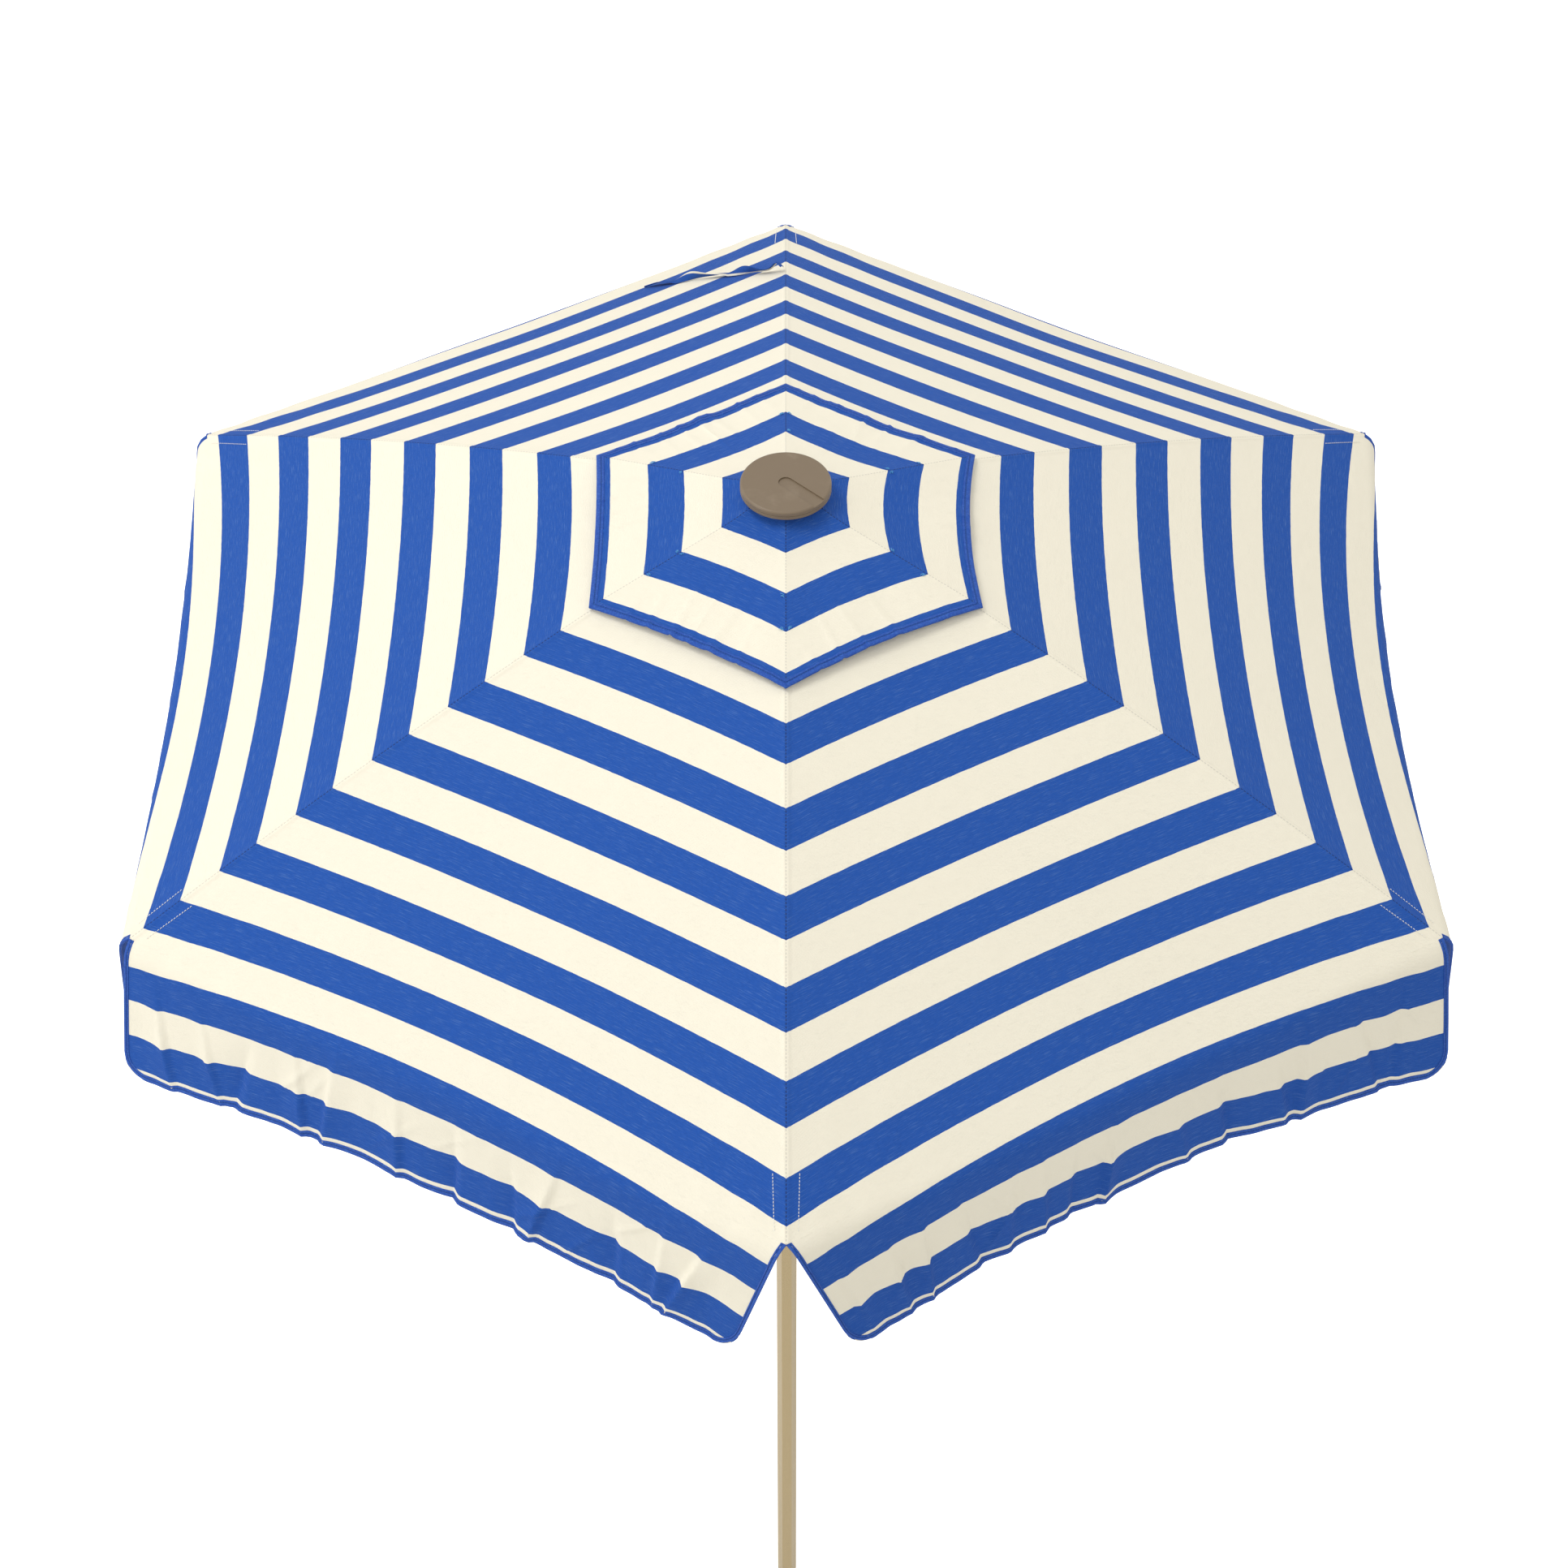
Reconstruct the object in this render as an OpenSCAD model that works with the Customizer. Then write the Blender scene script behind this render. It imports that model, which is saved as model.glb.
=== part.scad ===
// Beach umbrella: six ribs, a vented striped canopy with a hanging valance,
// a sliding runner with stretchers, and a two-piece hexagonal pole.
// Millimetres, +Z up, origin at the pole's foot. The front rib points to -Y.

/* [Canopy] */
// Radius from the pole to a canopy corner, where a rib ends
canopy_r = 1000; // [850:10:1200]
// Height of the canopy corners above the foot of the pole
corner_z = 2400; // [2200:10:2600]
// Height of the canopy's crown over its corners
crown_rise = 349; // [300:1:400]
// Upward bow of the ribs between crown and corner
rib_bow = 88; // [60:1:110]
// Thickness of the cloth solids
cloth_t = 1.2; // [0.8:0.1:2]
// Corner radius of the main canopy's central opening
vent_hole_r = 230; // [200:5:250]
// Corner radius of the vent cap over that opening
vent_r = 302; // [280:1:340]
// Height of the vent cap's corners over the canopy below them
vent_lift = 7.3; // [6:0.1:20]
// Length of the valance at a corner
valance_len = 217; // [150:1:260]
// Outward lean of the valance in degrees
valance_lean = 10; // [0:1:20]
// Radius on the valance's lower corners
valance_corner_r = 35; // [15:1:50]

/* [Ribs and stretchers] */
// Diameter of a rib
rib_d = 8; // [6:0.5:9.5]
// Diameter of a stretcher
strut_d = 7; // [6:0.5:9]
// Distance from the pole's axis to the rib and stretcher pivots
pivot_r = 36; // [30:0.5:43]
// Radius at which the stretcher's bracket holds the rib
bracket_r = 500; // [420:5:600]
// Distance from the rib's centre line down to the bracket's pivot
bracket_drop = 12; // [11.5:0.5:16]
// Radius of every pivot pin
pin_r = 2; // [1.5:0.1:2.4]
// Radial clearance of a pin in its eye
pin_gap = 0.05; // [0.02:0.01:0.1]
// Radius of a pivot eye
eye_r = 5; // [4.5:0.1:5.5]
// Width of an eye along its pin
eye_w = 5; // [4:0.1:6]
// Clearance on each side of an eye
side_gap = 0.25; // [0.15:0.05:0.4]

/* [Pole] */
// Lower tube across its flats
lower_af = 29; // [28:0.5:35]
// Wall of both tubes
tube_wall = 1.5; // [1.2:0.1:1.7]
// Clearance between the two tubes, flat to flat
slide_gap = 0.4; // [0.3:0.05:0.8]
// Top of the lower tube
lower_top = 1125; // [1080:5:1300]
// Length of upper tube that sits inside the lower one
overlap_len = 380; // [340:5:450]
// Length of the pointed foot
foot_len = 60; // [40:1:90]
// Radius of the foot's flat end
foot_end_r = 6; // [4:0.5:9]

/* [Collar and knobs] */
// Height of the clamp collar
collar_h = 54; // [44:1:70]
// Outer radius of the clamp collar
collar_r = 23; // [22:0.5:28]
// Radius of a thumb knob
knob_r = 15; // [12:0.5:18]
// Thickness of a thumb knob
knob_t = 12; // [9:0.5:16]
// Radius of a thumb knob's screw
screw_r = 3; // [2.5:0.1:4]

/* [Runner] */
// Length of the runner's sleeve below its pivots
runner_len = 62; // [50:1:90]
// Outer radius of the runner's sleeve
runner_r = 21; // [20:0.5:25]

/* [Finial] */
// Radius of the two finial discs
finial_r = 61.6; // [50:0.1:65]
// Thickness of the lower disc
finial_base_t = 6; // [4:0.5:9]
// Thickness of the cap disc
finial_cap_t = 6.5; // [4:0.5:9]
// Width of the gap line between the discs
finial_gap = 1; // [0.5:0.1:2]
// Width of the finger recess in the cap
recess_w = 20; // [14:1:26]
// Depth of the finger recess
recess_depth = 2; // [1:0.5:3]
// Direction of the recess in degrees from +X
recess_azimuth = -43; // [-60:1:-30]

/* [Tie strap] */
// Width of the strap that ties the folded canopy
strap_w = 22; // [15:1:30]

/* [Hidden] */
$fn = 64;
SIDES = 6;
CORNERS = [1:SIDES];
hex_step = 360 / SIDES;
half_step = hex_step / 2;
// radius to the corners of a hexagon of that size across its flats
function corner_r(af) = af / 2 / cos(half_step);

// clearances
fit_gap = 0.1;
cloth_gap = 0.3;

// The cloth's top surface. share is the distance out along a rib, 1 at a corner.
function canopy_z(share) = corner_z + crown_rise * (1 - share) + rib_bow * share * (1 - share);
// Between ribs the cloth is drawn in, evenly and then more towards its edge, and lifts at its edge.
sag_even = 6.8;
sag_edge = 140;
sag_edge_start = 0.55;
sag_lift = 13.3;
sag_lift_start = 0.6;
function past(share, start) = max(0, share - start);
function sag_in(share) = sag_even + sag_edge * pow(past(share, sag_edge_start), 2);
function sag_up(share) = sag_lift * pow(past(share, sag_lift_start) / (1 - sag_lift_start), 2);
function across(w) = w * (2 - w);
// the panel's edge, where canopy and valance meet, lies a little further out between ribs
edge_bow = 0.04;
function edge_share(w) = 1 + edge_bow * across(w);
// one point of a panel: w is 0 on the rib and 1 at the panel's middle
middle_pull = pow(sin(half_step), 2);
function panel_point(share, w, z, in, side) = [
    share * canopy_r * (1 - middle_pull * w) - in * cos(half_step),
    side * (share * canopy_r * sin(hex_step) / 2 * w - in * sin(half_step)),
    z
];
function canopy_point(share, w, side) = panel_point(
    share, w, canopy_z(share) + sag_up(share) * across(w), sag_in(share) * across(w), side);

// rib line: an arc through the hub pivot, a middle point and the tip, each below the cloth
rib_drop = rib_d / 2 + 3;
hub_drop = 11;
tip_drop = rib_d / 2 + 4;
tip_back = 15;
rib_end_r = canopy_r - tip_back;
hub_z = canopy_z(pivot_r / canopy_r) - hub_drop;
rib_end_z = canopy_z(rib_end_r / canopy_r) - tip_drop;
rib_mid_r = (pivot_r + rib_end_r) / 2;
rib_sag_z = canopy_z(rib_mid_r / canopy_r) - rib_drop - (hub_z + rib_end_z) / 2;
rib_run = rib_end_r - pivot_r;
rib_fall = hub_z - rib_end_z;
rib_chord = norm([rib_run, rib_fall]);
rib_angle = atan2(rib_fall, rib_run);
rib_sag = rib_sag_z * cos(rib_angle);
rib_arc_r = rib_chord * rib_chord / (8 * rib_sag) + rib_sag / 2;
rib_arc = 2 * asin(rib_chord / 2 / rib_arc_r);
// height of the rib's centre line, and its slope, at a distance out
arc_centre = [
    rib_mid_r - (rib_arc_r - rib_sag) * sin(rib_angle),
    (hub_z + rib_end_z) / 2 - (rib_arc_r - rib_sag) * cos(rib_angle)
];
function rib_z(r) = arc_centre[1] + sqrt(rib_arc_r * rib_arc_r - pow(r - arc_centre[0], 2));
function rib_slope(r) = asin((r - arc_centre[0]) / rib_arc_r);

// stretcher linkage: hub pivot to bracket pin and bracket pin to runner pivot are equal
bracket_pin_r = bracket_r - bracket_drop * sin(rib_slope(bracket_r));
bracket_pin_z = rib_z(bracket_r) - bracket_drop * cos(rib_slope(bracket_r));
runner_z = 2 * bracket_pin_z - hub_z;
strut_len = norm([bracket_pin_r - pivot_r, bracket_pin_z - runner_z]);
strut_angle = atan2(bracket_pin_z - runner_z, bracket_pin_r - pivot_r);

// tubes
lower_in_af = lower_af - 2 * tube_wall;
upper_af = lower_in_af - 2 * slide_gap;
upper_in_af = upper_af - 2 * tube_wall;
upper_bottom = lower_top - overlap_len;
bush_t = 30;
plug_len = 40;
foot_band = 8;
collar_over = 30;
collar_z = lower_top - collar_over;

// yokes, eyes and rivets
ear_w = 6;
ear_top = eye_r + 4;
ear_reach = eye_r + 2;
core_gap = 3;
core_r = pivot_r - eye_r - core_gap;
slot_w = eye_w + 2 * side_gap;
yoke_w = slot_w + 2 * ear_w;
rod_start = 13;
eye_lap = 3;
eye_ease = 0.5;
rivet_head_r = pin_r + 1.4;
rivet_head_t = 1.4;
sleeve_gap = 0.15;
saddle_len = 20;
saddle_wall = 1;
cheek_t = 1.6;

// hub: its stem round the tube, and the screw that holds the finial
hub_top = hub_z + ear_top;
hub_stem = 60;
stem_r = corner_r(upper_af) + 7.5;
tube_stop = 24;
pole_top = hub_z - tube_stop;
bolt_r = 4;
bolt_gap = 0.2;
bolt_depth = 17;
bolt_head_r = 7;
bolt_head_gap = 1.2;

// finial
boss_r = 20;
boss_h = 6;
finial_z = hub_top + boss_h;
cap_z = finial_z + finial_base_t + finial_gap;
cap_top = cap_z + finial_cap_t;
groove_depth = 2.5;
neck_r = finial_r - groove_depth;
edge_ease = 1.5;
shoulder_r = 3;

// thumb knobs
notch_r = 4;
notch_step = 45;
knob_off = 1;
knob_tip_gap = 0.4;
knob_tip_r = corner_r(upper_af) + knob_tip_gap;
knob_axis_z = lower_top + (collar_h - collar_over) / 2;

// cap on the rib's end and the eye that the cloth's corner is sewn to
tip_over = 16;
tip_front = 2;
tip_wall = 1.5;
tip_eye_x = 5;
tip_eye_r = 4.5;
tip_eye_w = 4;
tip_hole_r = 1.5;

bronze = [0.53, 0.45, 0.35];
champagne = [0.80, 0.72, 0.56];
white = [0.90, 0.90, 0.88];
black = [0.12, 0.12, 0.13];
steel = [0.70, 0.71, 0.73];
blue = [0.18, 0.34, 0.66];
cream = [0.98, 0.96, 0.87];

function rib_azimuth(k) = -90 + hex_step * (k - 1);
back_rib = 4;

// ---------- shared shapes ----------
module at_rib(k) rotate([0, 0, rib_azimuth(k)]) children();

// a hexagonal prism with a flat facing -Y, sized across its flats
module hex_rod(af, h) cylinder(r = corner_r(af), h = h, $fn = SIDES);

// a cylinder along the tangential direction, centred
module cross_pin(r, w) rotate([90, 0, 0]) cylinder(r = r, h = w, center = true);

module rivet(w) {
    cross_pin(pin_r, w);
    for (side = [-1, 1])
        translate([0, side * (w + rivet_head_t) / 2, 0]) cross_pin(rivet_head_r, rivet_head_t);
}

// six pairs of ears round a core, each with a slot and a pin hole
module yoke_ring(z, height) {
    difference() {
        union() {
            translate([0, 0, z - height]) cylinder(r = core_r, h = 2 * height);
            for (k = CORNERS) at_rib(k)
                translate([0, -yoke_w / 2, z - height])
                    cube([pivot_r + ear_reach, yoke_w, 2 * height]);
        }
        for (k = CORNERS) at_rib(k) {
            translate([core_r, -slot_w / 2, z - height - 1])
                cube([pivot_r, slot_w, 2 * height + 2]);
            translate([pivot_r, 0, z]) cross_pin(pin_r, yoke_w + 2);
        }
    }
}

// the flat eye at the end of a rib or stretcher, pointing along +X
module eye_end(reach, height) {
    difference() {
        union() {
            cross_pin(eye_r, eye_w);
            translate([0, -eye_w / 2, -height / 2]) cube([reach, eye_w, height]);
        }
        cross_pin(pin_r + pin_gap, eye_w + 2);
    }
}

// a closed solid between a grid of points and the same grid moved by shift
module grid_solid(grid, shift) {
    rows = len(grid);
    cols = len(grid[0]);
    size = rows * cols;
    top = [for (row = grid) for (p = row) p];
    function at(r, c) = r * cols + c;
    upper = [for (r = [0:rows - 2]) for (c = [0:cols - 2])
        let (near = at(r, c), far = at(r + 1, c + 1))
            each [[near, at(r + 1, c), far], [near, far, at(r, c + 1)]]];
    lower = [for (f = upper) [f[2] + size, f[1] + size, f[0] + size]];
    rim = concat(
        [for (c = [0:cols - 1]) at(0, c)],
        [for (r = [1:rows - 1]) at(r, cols - 1)],
        [for (c = [cols - 2:-1:0]) at(rows - 1, c)],
        [for (r = [rows - 2:-1:1]) at(r, 0)]
    );
    wall = [for (i = [0:len(rim) - 1]) let (a = rim[i], b = rim[(i + 1) % len(rim)])
        each [[a, b, b + size], [a, b + size, a + size]]];
    polyhedron(points = concat(top, [for (p = top) p + shift]), faces = concat(upper, lower, wall));
}

// steps from a to b, n of them
function steps(a, b, n) = [for (i = [0:n]) a + (b - a) * i / n];

// ---------- pole ----------
module pole_lower() color(champagne)
    difference() {
        translate([0, 0, foot_len]) hex_rod(lower_af, lower_top - foot_len);
        translate([0, 0, foot_len - 1]) hex_rod(lower_in_af, lower_top - foot_len + 2);
    }

// pointed plastic foot with a plug that fills the tube's end
module foot_tip() color(black) {
    rotate_extrude()
        polygon([[0, 0], [foot_end_r, 0], [lower_af / 2, foot_len - foot_band],
                 [lower_af / 2, foot_len], [0, foot_len]]);
    translate([0, 0, foot_len]) hex_rod(lower_in_af - 2 * fit_gap, plug_len);
}

// clamp collar over the lower tube's end, with a lip that guides the upper tube
module pole_collar() color(black)
    difference() {
        translate([0, 0, collar_z]) cylinder(r = collar_r, h = collar_h);
        translate([0, 0, collar_z - 1]) hex_rod(lower_af + 2 * fit_gap, collar_over + 1);
        translate([0, 0, collar_z]) hex_rod(upper_af + 2 * fit_gap, collar_h + 1);
        translate([0, 0, knob_axis_z]) rotate([0, 90, 0])
            cylinder(r = screw_r + pin_gap, h = collar_r + 1);
    }

// thumb knob on its screw, pointing along +X, with grip notches round its rim
module thumb_knob(seat_r) {
    rotate([0, 90, 0]) {
        difference() {
            translate([0, 0, seat_r + knob_off]) cylinder(r = knob_r, h = knob_t);
            for (a = [0:notch_step:359]) rotate([0, 0, a])
                translate([knob_r + notch_r / 2, 0, seat_r]) cylinder(r = notch_r, h = knob_t + 2);
        }
        translate([0, 0, knob_tip_r]) cylinder(r = screw_r, h = seat_r + knob_off + 1 - knob_tip_r);
    }
}

module collar_knob() color(black)
    translate([0, 0, knob_axis_z]) thumb_knob(collar_r);

module pole_upper() color(champagne)
    difference() {
        translate([0, 0, upper_bottom]) hex_rod(upper_af, pole_top - upper_bottom);
        translate([0, 0, upper_bottom - 1]) hex_rod(upper_in_af, pole_top - upper_bottom + 2);
    }

// guide bush plugged into the upper tube's lower end
module pole_bush() color(white) {
    translate([0, 0, upper_bottom - bush_t]) hex_rod(lower_in_af - fit_gap, bush_t);
    translate([0, 0, upper_bottom]) hex_rod(upper_in_af - 2 * fit_gap, plug_len);
}

// ---------- hub and finial ----------
module hub() color(black)
    difference() {
        union() {
            yoke_ring(hub_z, ear_top);
            translate([0, 0, hub_z - hub_stem]) cylinder(r = stem_r, h = hub_stem);
        }
        translate([0, 0, hub_z - hub_stem - 1])
            hex_rod(upper_af + fit_gap, hub_stem - tube_stop + 1);
        translate([0, 0, hub_z - bolt_depth - 1]) cylinder(r = bolt_r, h = bolt_depth + ear_top + 2);
    }

module hub_pins() color(steel)
    for (k = CORNERS) at_rib(k) translate([pivot_r, 0, hub_z]) rivet(yoke_w);

// lower finial disc with a boss that clamps the vent cap to the hub
module finial_base() color(bronze)
    difference() {
        rotate_extrude($fn = 96)
            polygon([[0, hub_top], [boss_r, hub_top], [boss_r, finial_z],
                     [finial_r - edge_ease, finial_z], [finial_r, finial_z + edge_ease],
                     [finial_r, cap_z - finial_gap - edge_ease / 2],
                     [finial_r - edge_ease / 2, cap_z - finial_gap],
                     [neck_r, cap_z - finial_gap], [neck_r, cap_z], [0, cap_z]]);
        translate([0, 0, hub_top - 1]) cylinder(r = bolt_r + bolt_gap, h = cap_top);
    }

// cap disc with a rounded shoulder and a finger recess that runs out at its rim
module finial_cap() color(bronze)
    difference() {
        translate([0, 0, cap_z]) rotate_extrude($fn = 96) {
            square([finial_r - shoulder_r, finial_cap_t]);
            square([finial_r, finial_cap_t - shoulder_r]);
            translate([finial_r - shoulder_r, finial_cap_t - shoulder_r]) circle(r = shoulder_r);
        }
        translate([0, 0, cap_top - recess_depth]) {
            cylinder(r = recess_w / 2, h = recess_depth + 1);
            rotate([0, 0, recess_azimuth]) translate([0, -recess_w / 2, 0])
                cube([finial_r + 1, recess_w, recess_depth + 1]);
        }
        translate([0, 0, cap_z - 1])
            cylinder(r = bolt_head_r + bolt_gap, h = finial_cap_t - recess_depth);
    }

module finial_screw() color(steel) {
    translate([0, 0, hub_z - bolt_depth]) cylinder(r = bolt_r, h = cap_z - hub_z + bolt_depth);
    translate([0, 0, cap_z]) cylinder(r = bolt_head_r, h = finial_cap_t - recess_depth - bolt_head_gap);
}

// ---------- runner ----------
runner_sleeve_z = runner_z - runner_len;
runner_knob_z = runner_sleeve_z + knob_r + 5;
flange_w = 3;
flange_h = 6;

module runner() color(black)
    difference() {
        union() {
            yoke_ring(runner_z, ear_top);
            translate([0, 0, runner_sleeve_z]) cylinder(r = runner_r, h = runner_len);
            translate([0, 0, runner_sleeve_z - flange_h]) cylinder(r = runner_r + flange_w, h = flange_h);
        }
        translate([0, 0, runner_sleeve_z - flange_h - 1])
            hex_rod(upper_af + 2 * fit_gap, flange_h + runner_len + ear_top + 2);
        translate([0, 0, runner_knob_z]) rotate([0, 90, 0])
            cylinder(r = screw_r + pin_gap, h = runner_r + 1);
    }

module runner_pins() color(steel)
    for (k = CORNERS) at_rib(k) translate([pivot_r, 0, runner_z]) rivet(yoke_w);

module runner_knob() color(black)
    translate([0, 0, runner_knob_z]) thumb_knob(runner_r + flange_w);

// ---------- one rib and what it carries ----------
// the rod follows the rib line from just past its eye to the tip
module rib(k) color(white) at_rib(k) {
    start_turn = 2 * asin(rod_start / 2 / rib_arc_r);
    translate([arc_centre[0], 0, arc_centre[1]]) rotate([90, 0, 0])
        rotate([0, 0, 90 - rib_angle - rib_arc / 2])
            rotate_extrude(angle = rib_arc - start_turn, $fn = 720)
                translate([rib_arc_r, 0]) circle(d = rib_d, $fn = 32);
    translate([pivot_r, 0, hub_z]) rotate([0, rib_slope(pivot_r), 0])
        eye_end(rod_start + eye_lap, rib_d - eye_ease);
}

// saddle riveted under the rib, its two cheeks and the stretcher's pin
module rib_bracket(k) color(steel) at_rib(k) {
    translate([bracket_r, 0, rib_z(bracket_r)]) rotate([0, rib_slope(bracket_r), 0])
        difference() {
            union() {
                rotate([0, 90, 0])
                    cylinder(r = rib_d / 2 + saddle_wall, h = saddle_len, center = true);
                for (side = [-1, 1])
                    translate([0, side * (slot_w + cheek_t) / 2, -bracket_drop]) {
                        cross_pin(eye_r, cheek_t);
                        translate([-eye_r, -cheek_t / 2, 0]) cube([2 * eye_r, cheek_t, bracket_drop]);
                    }
            }
            rotate([0, 90, 0]) cylinder(r = rib_d / 2 + sleeve_gap, h = saddle_len + 2, center = true);
            translate([0, 0, -bracket_drop]) cross_pin(pin_r, yoke_w);
        }
    translate([bracket_r, 0, rib_z(bracket_r)]) rotate([0, rib_slope(bracket_r), 0])
        translate([0, 0, -bracket_drop]) rivet(slot_w + 2 * cheek_t);
}

// plastic cap on the rib's end, with the eye that the canopy's corner is sewn to
module rib_tip(k) color(black) at_rib(k)
    translate([rib_end_r, 0, rib_end_z]) rotate([0, rib_slope(rib_end_r), 0])
        difference() {
            union() {
                translate([-tip_over, 0, 0]) rotate([0, 90, 0])
                    cylinder(r = rib_d / 2 + tip_wall, h = tip_over + tip_front);
                translate([tip_eye_x, 0, 0]) cross_pin(tip_eye_r, tip_eye_w);
                translate([0, -tip_eye_w / 2, -tip_eye_r]) cube([tip_eye_x, tip_eye_w, 2 * tip_eye_r]);
            }
            translate([-tip_over - 1, 0, 0]) rotate([0, 90, 0])
                cylinder(r = rib_d / 2 + sleeve_gap, h = tip_over + 1 + 2 * sleeve_gap);
            translate([tip_eye_x, 0, 0]) cross_pin(tip_hole_r, tip_eye_w + 2);
        }

// stretcher from the bracket's pin down to the runner's pin, a rod with an eye at each end
module strut(k) color(white) at_rib(k)
    translate([pivot_r, 0, runner_z]) rotate([0, -strut_angle, 0]) {
        eye_end(rod_start + eye_lap, strut_d - eye_ease);
        translate([rod_start, 0, 0]) rotate([0, 90, 0])
            cylinder(d = strut_d, h = strut_len - 2 * rod_start, $fn = 32);
        translate([strut_len, 0, 0]) mirror([1, 0, 0])
            eye_end(rod_start + eye_lap, strut_d - eye_ease);
    }

// ---------- cloth ----------
canopy_rows = 8;
cloth_cols = 4;
middle_gap = 0.2;
seam_gap = 0.05;

// pulls a half panel's middle edge back from its neighbour, and its seam edge back from the seam
function keep_apart(p, w, side) =
    w == 1 ? p + middle_gap * [sin(half_step), -side * cos(half_step), 0]
    : w == 0 ? p + [0, side * seam_gap, 0]
    : p;

// the two half panels sewn together over one rib
module canopy(k) color(k % 2 == 0 ? blue : cream) at_rib(k)
    for (side = [-1, 1]) {
        inner = vent_hole_r / canopy_r;
        grid = [for (row = steps(0, 1, canopy_rows)) [for (w = steps(0, 1, cloth_cols))
            let (share = inner + (edge_share(w) - inner) * row)
                keep_apart(canopy_point(share, w, side), w, side)]];
        grid_solid(side > 0 ? grid : [for (row = grid) [for (i = [cloth_cols:-1:0]) row[i]]],
                   [0, 0, -cloth_t]);
    }

// The vent cap's top surface: straight along a rib from the hub to its corner, lifted onto the hub.
// Between ribs it is drawn in and puffs up, from nothing at the hub to the most at its edge.
vent_hole = (boss_r + 1) / cos(half_step);
hub_lift_r = 48;
vent_hub_drop = 4.5;
vent_sag = 8;
vent_puff = 5;
vent_corner_z = canopy_z(vent_r / canopy_r) + vent_lift;
vent_inner_z = hub_top - vent_hub_drop;
vent_slope = (vent_inner_z - vent_corner_z) / (vent_r - hub_lift_r);
function vent_z(r) = vent_corner_z + vent_slope * (vent_r - max(r, hub_lift_r))
    + (vent_hub_drop + cloth_gap + cloth_t)
      * pow(max(0, min(1, (2 * hub_lift_r - r) / hub_lift_r)), 2);
function vent_far(r) = max(0, r - hub_lift_r) / (vent_r - hub_lift_r);
function vent_point(r, w, side) = panel_point(
    r / canopy_r, w, vent_z(r) + vent_puff * pow(vent_far(r), 2) * across(w),
    vent_sag * sin(90 * vent_far(r)) * across(w), side);

module vent(k) color(blue) at_rib(k)
    for (side = [-1, 1]) {
        inner = [vent_hole, hub_lift_r, 1.5 * hub_lift_r, 2 * hub_lift_r];
        outer = steps(2 * hub_lift_r, vent_r, 4);
        grid = [for (r = concat(inner, [for (i = [1:4]) outer[i]]))
            [for (w = steps(0, 1, cloth_cols)) keep_apart(vent_point(r, w, side), w, side)]];
        grid_solid(side > 0 ? grid : [for (row = grid) [for (i = [cloth_cols:-1:0]) row[i]]],
                   [0, 0, -cloth_t]);
    }

// the two half valances that hang from one corner, with a V notch between them
side_slant = 0.2;
valance_cols = [0.004, 0.02, 0.05, 0.1, 0.2, 0.4, 0.7, 1];
valance_rows = 4;
half_edge = canopy_r / 2;
edge_dir = [-sin(half_step), cos(half_step), 0];
edge_out = [cos(half_step), sin(half_step), 0];
slant_scale = norm([crown_rise, canopy_r * cos(half_step)]) / canopy_r;
function flipped(v, side) = [v[0], side * v[1], v[2]];
function round_off(d) = d >= valance_corner_r ? 0
    : valance_corner_r - sqrt(pow(valance_corner_r, 2) - pow(valance_corner_r - d, 2));
function valance_length(w) = valance_len - edge_bow * across(w) * canopy_r * slant_scale
    - round_off(w * half_edge);
function valance_point(w, down, side) =
    canopy_point(edge_share(w), w, side) - [0, 0, cloth_t + cloth_gap]
    + flipped(edge_dir, side) * ((1 - w) * side_slant * down + (w < 1 ? 0 : -middle_gap))
    + flipped(edge_out, side) * (sin(valance_lean) * down)
    - [0, 0, cos(valance_lean) * down];

module valance(k) color(k % 2 == 0 ? cream : blue) at_rib(k)
    for (side = [-1, 1]) {
        grid = [for (row = steps(0, 1, valance_rows)) [for (w = valance_cols)
            valance_point(w, row * valance_length(w), side)]];
        last = len(valance_cols) - 1;
        grid_solid(side > 0 ? grid : [for (row = grid) [for (i = [last:-1:0]) row[i]]],
                   flipped(edge_out, side) * -cloth_t);
    }

// strap sewn to the back seam, lying across the panel to the left
strap_start = 0.77;
strap_rise = 0.1;
strap_curve = 0.24;
strap_reach = 0.52;
strap_seam = 0.015;
function strap_mid(w) = strap_start + strap_rise * w + strap_curve * w * w;
module tie_strap() color(blue) at_rib(back_rib) {
    half = strap_w / 2 / canopy_r;
    grid = [for (w = steps(strap_seam, strap_reach, 6))
        [for (edge = [half, -half])
            canopy_point(strap_mid(w) + edge, w, 1) + [0, 0, cloth_t + cloth_gap]]];
    grid_solid(grid, [0, 0, -cloth_t]);
}

// ---------- what is drawn ----------
pole_lower();
foot_tip();
pole_collar();
collar_knob();
pole_upper();
pole_bush();
hub();
hub_pins();
finial_base();
finial_cap();
finial_screw();
runner();
runner_pins();
runner_knob();
tie_strap();
for (k = CORNERS) {
    rib(k);
    rib_bracket(k);
    rib_tip(k);
    strut(k);
    canopy(k);
    vent(k);
    valance(k);
}
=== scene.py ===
"""Beach umbrella: a striped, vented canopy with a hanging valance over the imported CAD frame.

Everything is in metres in the CAD frame: +Z up, the front rib points to -Y.
"""
import math
import random

import bpy
import numpy as np
from mathutils import Matrix, Vector, noise


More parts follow.
